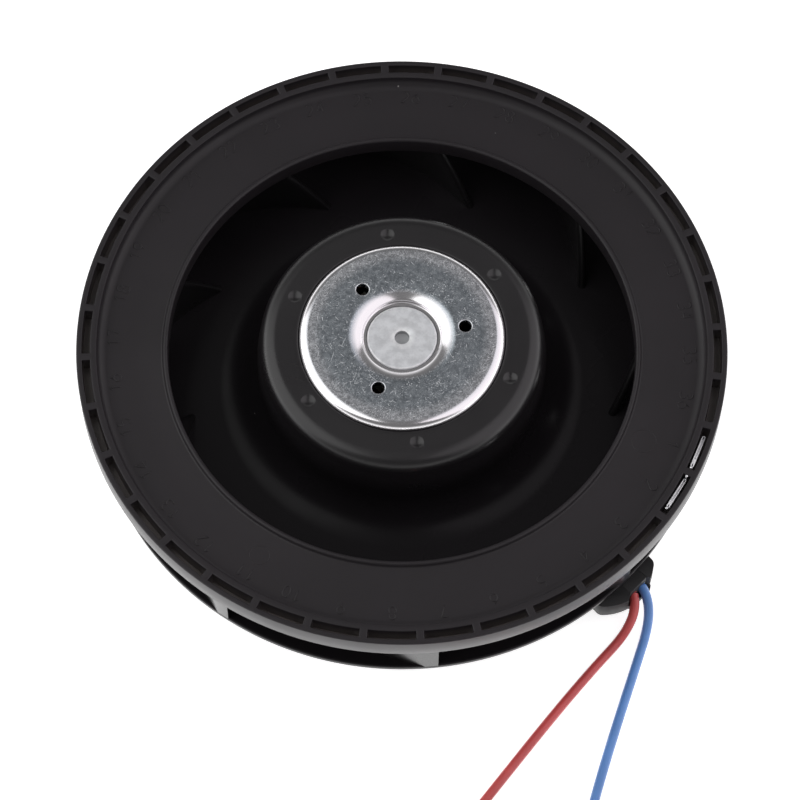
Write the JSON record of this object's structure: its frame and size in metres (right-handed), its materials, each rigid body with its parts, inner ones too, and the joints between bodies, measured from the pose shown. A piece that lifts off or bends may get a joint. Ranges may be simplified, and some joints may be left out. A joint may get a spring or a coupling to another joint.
{
  "type": "centrifugal blower fan",
  "caption": "Flat backward-curved centrifugal blower impeller on an external-rotor DC motor, with a mounting flange and two leads.",
  "frame": {"origin": "centre of the mounting flange's flat back face", "axes": "+Z along the shaft towards the air inlet; the lead arm points to -45 degrees between +X and -Y; the four threaded inserts lie on the X and Y axes"},
  "size_m": [0.1, 0.1383, 0.025],
  "materials": {
    "black_plastic": "moulded glass-filled plastic, satin",
    "flange_plastic": "moulded glass-filled plastic, matt",
    "zinc_plated_steel": "blue zinc plate, speckled, lightly scratched",
    "cast_zinc": "die-cast, matt",
    "ferrite": "plastic-bonded ferrite",
    "bright_steel": "ground and polished",
    "spring_steel": "bright spring steel",
    "brass": "turned",
    "laminated_steel": "stacked electrical steel",
    "white_plastic": "moulded",
    "enamelled_copper": "enamelled wire",
    "board_green": "solder resist on glass-epoxy board",
    "component_black": "moulded epoxy",
    "capacitor_yellow": "moulded epoxy",
    "solder": "tin, bright",
    "red_insulation": "PVC insulation",
    "blue_insulation": "PVC insulation",
    "tie_plastic": "nylon"
  },
  "bodies": {
    "motor": {"front_bearing_outer": "bright_steel", "rear_bearing_outer": "bright_steel", "preload_washer": "spring_steel", "bearing_tube": "brass", "stator_core": "laminated_steel", "upper_insulator": "white_plastic", "lower_insulator": "white_plastic", "stator_coils": "enamelled_copper", "coil_pins": "solder", "circuit_board": "board_green", "hall_sensor": "component_black", "driver_chip": "component_black", "drive_transistors": "component_black", "filter_capacitor": "capacitor_yellow", "resistors": "component_black", "solder_joints": "solder", "motor_flange": "flange_plastic", "flange_inserts": "brass", "strain_relief_clip": "flange_plastic", "red_lead_inner": "red_insulation", "blue_lead_inner": "blue_insulation", "red_lead": "red_insulation", "red_lead_coil": "red_insulation", "red_lead_tie": "tie_plastic", "red_lead_tip": "solder", "blue_lead": "blue_insulation", "blue_lead_coil": "blue_insulation", "blue_lead_tie": "tie_plastic", "blue_lead_tip": "solder"},
    "impeller": {"impeller_shroud": "black_plastic", "impeller_wheel": "black_plastic", "impeller_blades": "black_plastic", "balance_clips": "spring_steel", "rotor_cup": "zinc_plated_steel", "rotor_boss": "cast_zinc", "ring_magnet": "ferrite", "shaft": "bright_steel", "shaft_clip": "spring_steel", "shim_washer": "bright_steel", "front_bearing_inner": "bright_steel", "front_bearing_balls": "bright_steel", "rear_bearing_inner": "bright_steel", "rear_bearing_balls": "bright_steel"}
  },
  "joints": [
    {"name": "impeller_spin", "type": "hinge", "parent": "motor", "child": "impeller", "pos_m": [0, 0, 0.0125], "axis": [0, 0, 1], "continuous": true}
  ]
}
